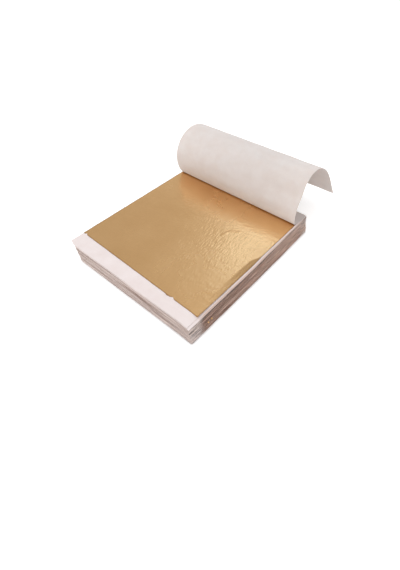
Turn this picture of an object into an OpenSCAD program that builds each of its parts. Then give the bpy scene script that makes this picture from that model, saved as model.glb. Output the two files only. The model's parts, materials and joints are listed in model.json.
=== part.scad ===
// Booklet of imitation gold leaf: tissue pages glued along one edge, a metal leaf between each two,
// and the top tissue turned back in a loose roll so that the first leaf lies open.
// The bound edge is at +Y and the origin is at the centre of the page area, on the surface below.

/* [Leaves] */
// Width of a leaf, along the bound edge
leaf_w = 85; // [60:0.5:160]
// Depth of a leaf
leaf_d = 80; // [70:0.5:160]
// Thickness of a leaf as it lies in the pack
leaf_t = 0.02; // [0.01:0.005:0.04]

/* [Pages] */
// Bare tissue in front of a leaf
front_margin = 6.5; // [2:0.5:15]
// Bare tissue between a leaf and the bound edge
back_margin = 7.5; // [4:0.5:15]
// Bare tissue beside a leaf
side_margin = 0; // [0:0.5:10]
// Thickness of one tissue as it lies in the pack
tissue_t = 0.1; // [0.06:0.01:0.16]
// Tissues, each with its leaf, in one gathering
pairs = 10; // [4:1:14]
// How far a single sheet strays from the square pack
stray = 0.12; // [0:0.01:0.3]
// How far a whole gathering strays from the square pack
gathering_stray = 0.18; // [0:0.01:0.4]
// How far the top of the pack leans to the left
lean_left = 1; // [0:0.1:3]
// How far the top of the pack leans to the front
lean_front = 0.9; // [0:0.1:3]

/* [Binding] */
// Part of each leaf that stays under the tissue behind the fold
leaf_tuck = 3.5; // [1:0.5:10]
// Part of the bound strip that the glue holds flat
held_w = 1.5; // [0.5:0.5:4]
// Thickness of the glue film on the bound edge
glue_t = 0.3; // [0.1:0.05:1]
// Thickness of the backing sheet
backing_t = 0.35; // [0.2:0.05:1.5]
// How far the backing reaches past the pages at the front right corner
backing_proud = 0.7; // [0:0.1:2]

/* [Turned tissue] */
// Angle at which the turned tissue rises from its fold
fold_rise = 59; // [30:1:80]
// Radius of the roll where it is tightest
roll_r = 15.5; // [14:0.5:24]
// Place of the tightest bend, as a share of the free length
tightest_at = 0.31; // [0.2:0.01:0.4]
// Share of the free length from the tightest bend to where the tissue runs straight
bend_share = 0.5; // [0.4:0.01:0.7]

/* [Clearances] */
// Gap between sheaves that open from each other
sheaf_gap = 0.02; // [0.01:0.01:0.1]
// Gap under and over the open leaf, which slides
leaf_gap = 0.02; // [0.01:0.01:0.1]
// Gap between neighbouring strips of the turned tissue
strip_gap = 0.06; // [0.04:0.01:0.1]
// Gap along the fold of the turned tissue
fold_gap = 0.12; // [0.1:0.01:0.2]
// Least gap between the open leaf and the tissue when it is laid down flat
laid_gap = 0.1; // [0.05:0.01:0.3]

/* [Hidden] */
// gatherings in the lower, middle and upper sheaf
sheaf_gatherings = [4, 3, 3];
strips = 14;
least_bend = 1;
$fn = 240;

SHEAVES = len(sheaf_gatherings);
GATHERINGS = sheaf_gatherings * [for (s = sheaf_gatherings) 1];

page_w = leaf_w + 2 * side_margin;
page_d = front_margin + leaf_d + back_margin;
bound_w = back_margin + leaf_tuck;
pair_t = tissue_t + leaf_t;

// gatherings below sheaf s, and the sheaf that gathering g is in
function below(s) = s <= 1 ? 0 : below(s - 1) + sheaf_gatherings[s - 2];
function sheaf_of(g, s = 1) = g <= below(s + 1) ? s : sheaf_of(g, s + 1);

// heights of the undersides of gathering g and of sheaf s
function gathering_z(g) =
    backing_t + (g - 1) * pairs * pair_t + (sheaf_of(g) - 1) * sheaf_gap;
function sheaf_z(s) = s == 1 ? 0 : gathering_z(below(s) + 1);

pack_z = gathering_z(GATHERINGS) + pairs * pair_t - leaf_t;
top_leaf_z = pack_z + leaf_gap;
strip_z = top_leaf_z + leaf_t + leaf_gap;

// middle, front and bound edge of a sheet that lies at height z in the leaning pack
function middle_x(z) = -lean_left * z / pack_z;
function front_y(z) = -page_d / 2 - lean_front * z / pack_z;
function spine_y(z) = front_y(z) + page_d;
// inner face of the glue at height z: it meets each tissue along its upper edge
function glue_y(z) = spine_y(z - tissue_t);
fold_y = spine_y(pack_z) - bound_w;

// steady wander between -1 and 1: a new value for each count, from its own start for each direction
golden_angle = 137.5;
side_start = 40;
front_start = 150;
function wander(count, start) = sin(golden_angle * count + start);
function strayed(g, n, start) =
    gathering_stray * wander(g, start) + stray * wander(n, start + golden_angle / 2);
function side_stray(g, n) = strayed(g, n, side_start);
function front_stray(g, n) = strayed(g, n, front_start);

// bend of strip k in degrees, its radius, and the angle at which it starts
strip_l = (page_d - bound_w) / strips;
function bend(k) = max(
    least_bend,
    strip_l / roll_r * 180 / PI * cos(90 * min(((k - 0.5) / strips - tightest_at) / bend_share, 1))
);
function radius(k) = strip_l / bend(k) * 180 / PI;
function start_angle(k) = k <= 1 ? fold_rise : start_angle(k - 1) + bend(k - 1);
function chord(k) = 2 * radius(k) * sin(bend(k) / 2);
function bow(k) = radius(k) * (1 - cos(bend(k) / 2));
fold_z = top_leaf_z + leaf_t + laid_gap + tissue_t / 2 + max([for (k = [1 : strips]) bow(k)]);

// place [y, z] of the hinge line where strip k starts
function hinge(k) = k <= 1
    ? [fold_y, fold_z]
    : hinge(k - 1) + chord(k - 1) * [
        -cos(start_angle(k - 1) + bend(k - 1) / 2),
        sin(start_angle(k - 1) + bend(k - 1) / 2)
    ];

module sheet(width, depth, thick, front, side, z) {
    translate([middle_x(z) + side - width / 2, front, z])
        cube([width, depth, thick]);
}

// Outline in the plane of Y and Z, drawn out over the width of the page at height z
module across_page(points, z) {
    translate([middle_x(z), 0, 0])
        rotate([90, 0, 90])
            linear_extrude(page_w, center = true)
                polygon(points);
}

// Stiff sheet under the pages, cut a little out of square
module backing() {
    color("gainsboro")
        linear_extrude(backing_t)
            polygon([
                [-page_w / 2, glue_y(backing_t)],
                [page_w / 2, glue_y(backing_t)],
                [page_w / 2 + backing_proud / 2, front_y(0) - backing_proud],
                [-page_w / 2, front_y(0)]
            ]);
}

// Film of glue over the bound edges of one sheaf, leaning with them
module spine_glue(s) {
    low = sheaf_z(s);
    high = s == SHEAVES ? strip_z + tissue_t : sheaf_z(s + 1) - sheaf_gap;
    color("linen")
        across_page([
            [glue_y(low), low], [glue_y(low) + glue_t, low],
            [glue_y(high) + glue_t, high], [glue_y(high), high]
        ], (low + high) / 2);
}

// Tissues of one gathering, their back edges square in the glue
module tissues(g) {
    color("whitesmoke")
        for (n = [0 : pairs - 1]) {
            z = gathering_z(g) + n * pair_t;
            out = front_stray(g, n);
            sheet(page_w, page_d + out, tissue_t, front_y(z) - out, side_stray(g, n), z);
        }
}

// Leaves of one gathering; the last leaf of the pack is the open one and isn't among them
module leaves(g) {
    last = g == GATHERINGS ? pairs - 2 : pairs - 1;
    color("darkkhaki")
        for (n = [0 : last]) {
            z = gathering_z(g) + n * pair_t + tissue_t;
            front = front_y(z) + front_margin - front_stray(g, n);
            sheet(leaf_w, leaf_d, leaf_t, front, side_stray(g, n + 0.5), z);
        }
}

// Open leaf on top of the pack, loose on its tissue
module top_leaf() {
    color("darkgoldenrod")
        sheet(leaf_w, leaf_d, leaf_t, front_y(pack_z) + front_margin, 0, top_leaf_z);
}

// Strip of the turned tissue behind its fold: flat at the glue, then rising to the fold
module bound_strip() {
    back = spine_y(strip_z);
    held = back - held_w;
    fold = fold_y + fold_gap / 2;
    half = tissue_t / 2;
    color("white")
        across_page([
            [back, strip_z], [back, strip_z + tissue_t], [held, strip_z + tissue_t],
            [fold, fold_z + half], [fold, fold_z - half], [held, strip_z]
        ], pack_z);
}

// One strip of the turned tissue: an arc that carries on where the strip before it ends
module turned_strip(k) {
    r = radius(k);
    a = start_angle(k);
    per_mm = 180 / PI / r;
    from = a + (k == 1 ? fold_gap : strip_gap) / 2 * per_mm;
    to = a + bend(k) - (k == strips ? 0 : strip_gap / 2 * per_mm);
    color("white")
        translate([middle_x(pack_z), hinge(k)[0] + r * sin(a), hinge(k)[1] + r * cos(a)])
            rotate([0, 90, 0])
                rotate([0, 0, -to])
                    rotate_extrude(angle = to - from)
                        translate([r - tissue_t / 2, -page_w / 2])
                            square([tissue_t, page_w]);
}

backing();
for (s = [1 : SHEAVES]) {
    spine_glue(s);
}
for (g = [1 : GATHERINGS]) {
    tissues(g);
    leaves(g);
}
top_leaf();
bound_strip();
for (k = [1 : strips]) {
    turned_strip(k);
}
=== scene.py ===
"""Visual model of a gold leaf booklet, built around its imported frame.

The booklet is a pack of interleaving tissues with a metal leaf between each two. The top tissue is
turned back in a loose roll, so that the first leaf lies open. Lengths named in millimetres are turned
to metres where a mesh or a node takes them.
"""

import json
import logging
import math
from dataclasses import dataclass, field
from enum import Enum
from typing import Callable

import bpy
import numpy as np
from bpy.types import ID, Material, Mesh, Node, NodeSocket, NodeTree, Object
from mathutils import Matrix, Vector

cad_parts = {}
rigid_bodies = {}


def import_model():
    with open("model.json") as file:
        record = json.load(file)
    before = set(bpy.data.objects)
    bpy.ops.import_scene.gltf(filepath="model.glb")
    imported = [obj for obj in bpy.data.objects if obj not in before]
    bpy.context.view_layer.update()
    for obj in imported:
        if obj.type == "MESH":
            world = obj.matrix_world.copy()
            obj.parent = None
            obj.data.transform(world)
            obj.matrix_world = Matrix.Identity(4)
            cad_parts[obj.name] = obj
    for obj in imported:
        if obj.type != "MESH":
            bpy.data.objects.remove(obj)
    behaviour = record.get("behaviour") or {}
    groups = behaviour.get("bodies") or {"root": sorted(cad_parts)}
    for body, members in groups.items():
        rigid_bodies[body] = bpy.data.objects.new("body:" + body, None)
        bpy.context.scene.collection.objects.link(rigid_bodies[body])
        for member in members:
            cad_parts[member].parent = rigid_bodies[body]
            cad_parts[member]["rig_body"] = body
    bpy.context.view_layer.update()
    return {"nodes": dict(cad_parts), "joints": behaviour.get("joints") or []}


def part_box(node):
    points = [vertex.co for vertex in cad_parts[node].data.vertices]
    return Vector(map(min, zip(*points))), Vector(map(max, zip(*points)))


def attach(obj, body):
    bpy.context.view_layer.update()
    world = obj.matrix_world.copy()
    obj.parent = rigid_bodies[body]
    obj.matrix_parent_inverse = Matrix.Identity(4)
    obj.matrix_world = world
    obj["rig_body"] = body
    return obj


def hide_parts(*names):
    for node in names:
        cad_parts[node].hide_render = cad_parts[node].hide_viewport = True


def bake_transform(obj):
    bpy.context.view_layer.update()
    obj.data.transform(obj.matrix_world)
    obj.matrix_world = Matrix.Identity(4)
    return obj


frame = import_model()

MM = 0.001
TOLERANCE_MM = 0.001
IMAGE_WIDTH, IMAGE_HEIGHT = 400, 570
GOLDEN_ANGLE = math.radians(137.5)
# attribute that places the painted shade along the open leaf's rim
RIM = "rim"
SHARP_ANGLE = math.radians(50)
SPAN_POINTS = 60

Inputs = dict[str | int, object]
Wave = Callable[[np.ndarray], np.ndarray]
log = logging.getLogger("booklet")


class Slot(Enum):
    """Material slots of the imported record."""

    TISSUE = "tissue"
    TURNED_TISSUE = "turned_tissue"
    LEAF = "leaf"
    OPEN_LEAF = "open_leaf"
    BACKING = "backing"
    GLUE = "glue"


# Small helpers


def linear(code: str) -> tuple[float, float, float, float]:
    """Turns an sRGB hex colour into linear red, green, blue and alpha.

    Args:
        code: six hex digits, such as "c49b6c".

    Returns:
        The colour as a shader socket takes it.
    """
    parts = [int(code[i:i + 2], 16) / 255 for i in (0, 2, 4)]
    straight = [p / 12.92 if p <= 0.04045 else ((p + 0.055) / 1.055) ** 2.4 for p in parts]
    return (*straight, 1.0)


def per_metre(size_mm: float) -> float:
    """Returns the scale of a texture on Object coordinates whose features are size_mm across."""
    return 1 / (size_mm * MM)


def smooth(value: np.ndarray) -> np.ndarray:
    """Returns 0 below 0, 1 above 1 and an even rise between them."""
    t = np.clip(value, 0, 1)
    return t * t * (3 - 2 * t)


def waves(seed: int, wavelength: float, count: int = 5) -> Wave:
    """Makes a smooth random curve with values from about -1 to 1.

    Args:
        seed: fixes the curve.
        wavelength: its mean wavelength, in the unit of the curve's argument.
        count: how many sines are summed.

    Returns:
        A function of position.
    """
    rng = np.random.default_rng(seed)
    lengths = wavelength * rng.uniform(0.6, 1.7, count)
    phases = rng.uniform(0, 2 * math.pi, count)

    def curve(at: np.ndarray) -> np.ndarray:
        """Returns the curve's value at each position."""
        sines = sum(np.sin(2 * math.pi * at / w + p) for w, p in zip(lengths, phases))
        return sines / math.sqrt(2 * count)

    return curve


def add_node(tree: NodeTree, kind: str, inputs: Inputs | None = None, **settings: object) -> Node:
    """Adds a node, gives it its settings, and sets or links its inputs.

    Args:
        tree: the shader or geometry tree that the node goes into.
        kind: the node's type name.
        inputs: a value, or the output to link, for each input's name or number.
        **settings: the node's own properties, such as its operation.

    Returns:
        The new node.
    """
    node = tree.nodes.new(kind)
    for name, value in settings.items():
        setattr(node, name, value)
    for name, value in (inputs or {}).items():
        if isinstance(value, NodeSocket):
            tree.links.new(value, node.inputs[name])
        else:
            node.inputs[name].default_value = value
    return node


def points_of(mesh: Mesh) -> np.ndarray:
    """Reads the vertices of a mesh.

    Args:
        mesh: the mesh to read.

    Returns:
        Rows of x, y and z in millimetres.
    """
    flat = np.empty(len(mesh.vertices) * 3, np.float32)
    mesh.vertices.foreach_get("co", flat)
    return flat.reshape(-1, 3).astype(float) / MM


def closed_sheet(name: str, upper: np.ndarray, lower: np.ndarray) -> Mesh:
    """Makes a closed mesh of two facing grids and the rim between them.

    Args:
        name: the mesh's name.
        upper: rows by columns of points in millimetres; rows crossed with columns point outwards.
        lower: the facing grid, of the same shape.

    Returns:
        A mesh whose faces point outwards.
    """
    rows, columns = upper.shape[:2]
    total = rows * columns
    grid = np.arange(total).reshape(rows, columns)
    top = np.stack([grid[:-1, :-1], grid[1:, :-1], grid[1:, 1:], grid[:-1, 1:]], -1).reshape(-1, 4)
    rim = np.concatenate([grid[:-1, 0], grid[-1, :-1], grid[:0:-1, -1], grid[0, :0:-1]])
    after = np.roll(rim, -1)
    side = np.stack([rim + total, after + total, after, rim], -1)
    faces = np.concatenate([top, (top + total)[:, ::-1], side])
    mesh = bpy.data.meshes.new(name)
    points = np.concatenate([upper.reshape(-1, 3), lower.reshape(-1, 3)]) * MM
    mesh.from_pydata(points.tolist(), [], faces.tolist())
    mesh.shade_smooth()
    mesh.set_sharp_from_angle(angle=SHARP_ANGLE)
    return mesh


def add_object(name: str, data: ID) -> Object:
    """Puts a new object into the scene.

    Args:
        name: the object's name.
        data: the mesh, lamp or camera that it shows.

    Returns:
        The new object.
    """
    made = bpy.data.objects.new(name, data)
    bpy.context.scene.collection.objects.link(made)
    return made


def cleared_tree(owner: ID) -> NodeTree:
    """Turns nodes on and clears them.

    Args:
        owner: a material or a world.

    Returns:
        Its node tree, with nothing in it.
    """
    owner.use_nodes = True
    owner.node_tree.nodes.clear()
    return owner.node_tree


def direction(azimuth: float, elevation: float) -> Vector:
    """Returns the way from the booklet to a place round it; azimuth 0 is in front, 90 to its right."""
    turn, rise = math.radians(azimuth), math.radians(elevation)
    return Vector((math.sin(turn) * math.cos(rise), -math.cos(turn) * math.cos(rise), math.sin(rise)))


def add_piece(mesh: Mesh, slot: Slot, materials: list[Material], *nodes: str) -> Object:
    """Puts a finished mesh into the scene in place of the CAD nodes that it stands for.

    Args:
        mesh: the mesh, already in its place; it gives the piece its name.
        slot: the record's slot that its finish belongs to; not used.
        materials: its materials, where the mesh has none yet.
        *nodes: the CAD nodes that it replaces.

    Returns:
        The new object.
    """
    piece = add_object(mesh.name, mesh)
    for material in materials:
        mesh.materials.append(material)
    if nodes:
        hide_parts(*nodes)
    log.info("%s: %d faces for %s", piece.name, len(mesh.polygons), ", ".join(nodes) or "a detail")
    return piece


# Finishes


@dataclass(frozen=True)
class Ramp:
    """An even change from one share to another, between two values or two places in millimetres."""

    start: float
    end: float
    first: float = 0.0
    last: float = 1.0

    def over(self, value: NodeSocket, unit: float = 1.0) -> Inputs:
        """Returns the inputs of a Map Range node for this ramp; unit is MM where it lies in space."""
        return {
            "Value": value, "From Min": self.start * unit, "From Max": self.end * unit,
            "To Min": self.first, "To Max": self.last,
        }


def painted(tree: NodeTree, base: str | NodeSocket, *coats: tuple) -> NodeSocket:
    """Lays coats of colour over a base.

    Args:
        tree: the material's tree.
        base: the colour below, as a hex code or an output.
        *coats: each coat's colour, then the shares whose product says how much of it covers.

    Returns:
        The colour on top.
    """
    for over, share, *others in coats:
        for other in others:
            share = add_node(tree, "ShaderNodeMath", {0: share, 1: other}, operation="MULTIPLY").outputs[0]
        under, over = (linear(colour) if isinstance(colour, str) else colour for colour in (base, over))
        mixed = {0: share, 6: under, 7: over}
        base = add_node(tree, "ShaderNodeMix", mixed, data_type="RGBA").outputs[2]
    return base


def streaked(
    tree: NodeTree, place: NodeSocket, sizes_mm: tuple[float, float, float], detail: float,
    roughness: float, distortion: float = 0.0, turn: float = 0.0,
) -> NodeSocket:
    """Adds noise whose patches have a size of their own along each axis.

    Args:
        tree: the material's tree.
        place: Object coordinates.
        sizes_mm: the size along X, Y and Z; 0 draws the patches out without end.
        detail: how many finer octaves there are.
        roughness: how strong they are.
        distortion: how much the patches are bent.
        turn: the pattern's turn about Z, in degrees.

    Returns:
        The noise, from 0 to 1.
    """
    scale = tuple(per_metre(size) if size else 0.0 for size in sizes_mm)
    drawn_out = add_node(
        tree, "ShaderNodeMapping",
        {"Vector": place, "Rotation": (0.0, 0.0, math.radians(turn)), "Scale": scale},
    ).outputs[0]
    noise = {"Detail": detail, "Roughness": roughness, "Distortion": distortion}
    return add_node(tree, "ShaderNodeTexNoise", {"Vector": drawn_out, "Scale": 1.0, **noise}).outputs[0]


@dataclass(frozen=True)
class Finish:
    """What every finish has: a material with one principled shader that it fills in."""

    name: str

    def dress(self, tree: NodeTree, place: NodeSocket) -> Inputs:
        """Adds the nodes of this finish.

        Args:
            tree: the material's tree.
            place: Object coordinates.

        Returns:
            The inputs of its principled shader.
        """
        raise NotImplementedError

    def build(self) -> Material:
        """Makes the material.

        Returns:
            The finished material.
        """
        material = bpy.data.materials.new(self.name)
        tree = cleared_tree(material)
        place = add_node(tree, "ShaderNodeTexCoord").outputs["Object"]
        shader = add_node(tree, "ShaderNodeBsdfPrincipled", self.dress(tree, place))
        add_node(tree, "ShaderNodeOutputMaterial", {"Surface": shader.outputs["BSDF"]})
        return material


@dataclass(frozen=True)
class TissuePaper(Finish):
    """Uncoated interleaving tissue, laid down as a thin web of long fibres and dried on a felt.

    It is dead matt, with faint clouds where the web is thicker and a fine tooth of fibres. Metal is
    rubbed on along the right edge, most on the ledges of the lower pages.
    """

    thick_tone: str = "f1e6e4"
    thin_tone: str = "ecdfdc"
    cloud_mm: float = 7.0
    cloud_tone: Ramp = Ramp(0.33, 0.67)
    fibre_mm: float = 0.55
    tooth_mm: float = 0.012
    roughness: float = 0.86
    gloss: float = 0.25
    rubbed: str = "b8825a"
    rubbed_across: Ramp = Ramp(41.9, 42.3)
    rubbed_along: Ramp = Ramp(-42.0, -38.0)
    rubbed_up: Ramp = Ramp(10.4, 11.0, 0.62, 0.5)

    def dress(self, tree: NodeTree, place: NodeSocket) -> Inputs:
        """Sets clouds and rubbed metal in the colour and fibres in the relief.

        Args:
            tree: the material's tree.
            place: Object coordinates.

        Returns:
            The inputs of the principled shader.
        """
        cloud = add_node(
            tree, "ShaderNodeTexNoise",
            {"Vector": place, "Scale": per_metre(self.cloud_mm), "Detail": 4.0, "Roughness": 0.62},
        )
        tone = add_node(tree, "ShaderNodeMapRange", self.cloud_tone.over(cloud.outputs[0]))
        axes = add_node(tree, "ShaderNodeSeparateXYZ", {"Vector": place}).outputs
        rubbed = [
            add_node(tree, "ShaderNodeMapRange", ramp.over(axes[axis], MM)).outputs[0]
            for axis, ramp in (("X", self.rubbed_across), ("Y", self.rubbed_along), ("Z", self.rubbed_up))
        ]
        colour = painted(tree, self.thin_tone, (self.thick_tone, tone.outputs[0]), (self.rubbed, *rubbed))
        fibre = add_node(
            tree, "ShaderNodeTexNoise",
            {"Vector": place, "Scale": per_metre(self.fibre_mm), "Detail": 3.0, "Distortion": 1.4},
        )
        relief = add_node(
            tree, "ShaderNodeBump",
            {"Strength": 1.0, "Distance": self.tooth_mm * MM, "Height": fibre.outputs[0]},
        )
        return {
            "Base Color": colour, "Normal": relief.outputs[0],
            "Roughness": self.roughness, "Specular IOR Level": self.gloss,
        }


@dataclass(frozen=True)
class TurnedPaper(TissuePaper):
    """The same tissue where a single sheet hangs free, so that light comes through it."""

    thick_tone: str = "dfd6d2"
    thin_tone: str = "dacfca"
    through: float = 0.9
    spread_mm: float = 0.3
    spread_by_colour: tuple[float, float, float] = (1.0, 0.9, 0.85)

    def dress(self, tree: NodeTree, place: NodeSocket) -> Inputs:
        """Adds light that spreads inside the sheet and leaves on its other side."""
        return {
            **super().dress(tree, place), "Subsurface Weight": self.through,
            "Subsurface Radius": self.spread_by_colour, "Subsurface Scale": self.spread_mm * MM,
        }


@dataclass(frozen=True)
class ShadedFoot(Finish):
    """Cut edges of the pack: the lowest of them carry a painted contact shadow along the foot."""

    # painted contact shadow: a dark tone over the lowest tenths of a millimetre of the cut edges
    foot_shadow_tone: str = "7d6a66"
    foot: Ramp = Ramp(0.7, 0.6)

    def painted_foot_shadow(self, tree: NodeTree, place: NodeSocket) -> tuple[str, NodeSocket]:
        """Returns the coat of painted contact shadow along the foot of the pack, with its share."""
        height = add_node(tree, "ShaderNodeSeparateXYZ", {"Vector": place}).outputs["Z"]
        return self.foot_shadow_tone, add_node(tree, "ShaderNodeMapRange", self.foot.over(height, MM)).outputs[0]


@dataclass(frozen=True)
class SmearedEdges(ShadedFoot):
    """Knife-cut side edges of the tissues, with the metal of the leaves between them rubbed in.

    They are grey-white beside the margins and mauve-brown along the leaves, in streaks a few tissues
    high. Single tissues are too thin to show, so the streaks are drawn coarser than one tissue. Thin
    dark lines between the pages are painted shade, and a painted shadow line shows where the pages
    part over the bundles that haven't slid.
    """

    paper: str = "e0cdc2"
    metal: str = "e2c2b1"
    dark_metal: str = "6c4b3c"
    # painted shade: the tone of the dark lines between the pages
    shadowed: str = "5c4e46"
    # painted shadow: the tone of the line where the pages part, also used for shade lines across the smear
    gap_shadow_tone: str = "35261f"
    leaf_front: Ramp = Ramp(-41.6, -39.4)
    leaf_back: Ramp = Ramp(43.0, 37.0)
    clean_above: Ramp = Ramp(10.5, 10.9, 1.0, 0.4)
    streak_long_mm: float = 38.0
    streak_high_mm: float = 0.7
    streak_tone: Ramp = Ramp(0.42, 0.56)
    streak_cover: Ramp = Ramp(0.66, 0.56, 0.1, 1.0)
    deeper_toward_front: float = 1.6
    line_long_mm: float = 14.0
    line_high_mm: float = 0.75
    shade_line_depth: Ramp = Ramp(0.54, 0.45, 0.0, 0.95)
    shade_line_share: float = 0.5
    gap_shadow_mm: float = 10.5
    gap_shadow_falloff: Ramp = Ramp(0.8, 0.5, 0.0, 0.95)
    roughness: float = 0.62
    gloss: float = 0.35

    def dress(self, tree: NodeTree, place: NodeSocket) -> Inputs:
        """Sets streaks that follow the pages, within the length of the leaves, with painted shade lines and
        a painted shadow line.

        Args:
            tree: the material's tree.
            place: Object coordinates.

        Returns:
            The inputs of the principled shader.
        """
        axes = add_node(tree, "ShaderNodeSeparateXYZ", {"Vector": place}).outputs
        streak = streaked(tree, place, (0.0, self.streak_long_mm, self.streak_high_mm), 3.0, 0.7)
        line = streaked(tree, place, (0.0, self.line_long_mm, self.line_high_mm), 2.0, 0.7)
        graded = add_node(
            tree, "ShaderNodeMath", {0: axes["Y"], 1: self.deeper_toward_front, 2: streak},
            operation="MULTIPLY_ADD",
        ).outputs[0]
        off = add_node(tree, "ShaderNodeMath", {0: axes["Z"], 1: self.gap_shadow_mm * MM}, operation="SUBTRACT")
        away = add_node(tree, "ShaderNodeMath", {0: off.outputs[0]}, operation="ABSOLUTE").outputs[0]
        tone, cover, between, front, back, upper, parted = (
            add_node(tree, "ShaderNodeMapRange", ramp.over(value, unit)).outputs[0]
            for ramp, value, unit in (
                (self.streak_tone, graded, 1.0), (self.streak_cover, streak, 1.0),
                (self.shade_line_depth, line, 1.0), (self.leaf_front, axes["Y"], MM),
                (self.leaf_back, axes["Y"], MM), (self.clean_above, axes["Z"], MM),
                (self.gap_shadow_falloff, away, MM),
            )
        )
        # painted shade lines between the pages
        pages = painted(tree, self.paper, (self.shadowed, between))
        # the metal smear, crossed by painted shade lines in the darkest tone
        smear = painted(
            tree, self.dark_metal, (self.metal, tone), (self.gap_shadow_tone, between, self.shade_line_share)
        )
        # over all, the painted shadow line where the pages part and the painted contact shadow along the
        # foot
        colour = painted(
            tree, pages, (smear, front, back, upper, cover), (self.gap_shadow_tone, parted, front, back),
            self.painted_foot_shadow(tree, place),
        )
        return {"Base Color": colour, "Roughness": self.roughness, "Specular IOR Level": self.gloss}


@dataclass(frozen=True)
class CutEdges(ShadedFoot):
    """Knife-cut front edges of the tissues: bare fibre ends, greyer than the sheet, with no metal."""

    light: str = "e4d4cb"
    dark: str = "84675a"
    streak_high_mm: float = 1.2
    streak_long_mm: float = 40.0
    streak_tone: Ramp = Ramp(0.35, 0.65)
    roughness: float = 0.9
    gloss: float = 0.2

    def dress(self, tree: NodeTree, place: NodeSocket) -> Inputs:
        """Sets soft bands that follow the pages.

        Args:
            tree: the material's tree.
            place: Object coordinates.

        Returns:
            The inputs of the principled shader.
        """
        streak = streaked(tree, place, (self.streak_long_mm, 0.0, self.streak_high_mm), 3.0, 0.55)
        tone = add_node(tree, "ShaderNodeMapRange", self.streak_tone.over(streak)).outputs[0]
        # the last coat is the painted contact shadow along the foot
        colour = painted(tree, self.dark, (self.light, tone), self.painted_foot_shadow(tree, place))
        return {"Base Color": colour, "Roughness": self.roughness, "Specular IOR Level": self.gloss}


@dataclass(frozen=True)
class MetalLeaf(Finish):
    """Champagne metal leaf, beaten or rolled to under a thousandth of a millimetre.

    It takes on the tooth of the tissue below, so its mirror is broken into a satin sheen, with a fine
    leathery grain of creases that lie mostly along the leaf and show where a light is mirrored. The
    grain is drawn coarser than the real one, which is finer than a pixel, and a dark painted shade runs
    along the rim.
    """

    light_tone: str = "f5c890"
    deep_tone: str = "e9b87d"
    cloud_mm: float = 24.0
    grain_across_mm: float = 1.35
    grain_along_mm: float = 3.2
    grain_turn: float = 14.0
    grain_deep_mm: float = 0.085
    tooth_mm: float = 0.6
    tooth_deep_mm: float = 0.006
    roughness: Ramp = Ramp(0.3, 0.7, 0.21, 0.29)
    # painted shade: the dark tone along the leaf's rim
    rim_shade_tone: str = "8f6236"
    rim_shade_share: float = 0.75

    def dress(self, tree: NodeTree, place: NodeSocket) -> Inputs:
        """Sets a metal with broken gloss, two sizes of creases, faint clouds of colour and a painted shade
        along the rim.

        Args:
            tree: the material's tree.
            place: Object coordinates.

        Returns:
            The inputs of the principled shader.
        """
        cloud = add_node(
            tree, "ShaderNodeTexNoise", {"Vector": place, "Scale": per_metre(self.cloud_mm), "Detail": 3.0}
        ).outputs[0]
        rim = add_node(tree, "ShaderNodeAttribute", attribute_name=RIM).outputs["Fac"]
        # the painted rim shade is laid over the clouds
        colour = painted(
            tree, self.deep_tone, (self.light_tone, cloud), (self.rim_shade_tone, rim, self.rim_shade_share)
        )
        roughness = add_node(tree, "ShaderNodeMapRange", self.roughness.over(cloud))
        sizes = (self.grain_across_mm, self.grain_along_mm, 0.0)
        grain = streaked(tree, place, sizes, 2.5, 0.5, distortion=0.7, turn=self.grain_turn)
        creased = add_node(
            tree, "ShaderNodeBump", {"Strength": 1.0, "Distance": self.grain_deep_mm * MM, "Height": grain}
        )
        tooth = add_node(
            tree, "ShaderNodeTexNoise", {"Vector": place, "Scale": per_metre(self.tooth_mm), "Detail": 1.0}
        )
        relief = add_node(
            tree, "ShaderNodeBump",
            {
                "Strength": 1.0, "Distance": self.tooth_deep_mm * MM,
                "Height": tooth.outputs[0], "Normal": creased.outputs[0],
            },
        )
        return {
            "Base Color": colour, "Metallic": 1.0, "Roughness": roughness.outputs[0],
            "Normal": relief.outputs[0],
        }


@dataclass(frozen=True)
class BackingCard(Finish):
    """Thin bleached card: a dense pressed board, smoother than the tissues, with dark grey painted shade on
    its cut edges.
    """

    light: str = "ded6d0"
    dark: str = "d0c7c1"
    # painted shade on the cut edges along the foot of the pack
    edge: str = "5f5450"
    fleck_mm: float = 1.1
    fleck_deep_mm: float = 0.01
    roughness: float = 0.7

    def dress(self, tree: NodeTree, place: NodeSocket) -> Inputs:
        """Sets a faint fleck of pulp in colour and relief, and paints shade on the cut edges.

        Args:
            tree: the material's tree.
            place: Object coordinates.

        Returns:
            The inputs of the principled shader.
        """
        fleck = add_node(
            tree, "ShaderNodeTexNoise",
            {"Vector": place, "Scale": per_metre(self.fleck_mm), "Detail": 5.0, "Roughness": 0.7},
        ).outputs[0]
        normal = add_node(tree, "ShaderNodeNewGeometry").outputs["True Normal"]
        facing = add_node(tree, "ShaderNodeSeparateXYZ", {"Vector": normal}).outputs["Z"]
        flat = add_node(tree, "ShaderNodeMath", {0: facing}, operation="ABSOLUTE").outputs[0]
        face = painted(tree, self.dark, (self.light, fleck))
        relief = add_node(
            tree, "ShaderNodeBump", {"Strength": 1.0, "Distance": self.fleck_deep_mm * MM, "Height": fleck}
        )
        # faces that look neither up nor down take the painted edge shade
        return {
            "Base Color": painted(tree, self.edge, (face, flat)), "Normal": relief.outputs[0],
            "Roughness": self.roughness,
        }


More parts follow.
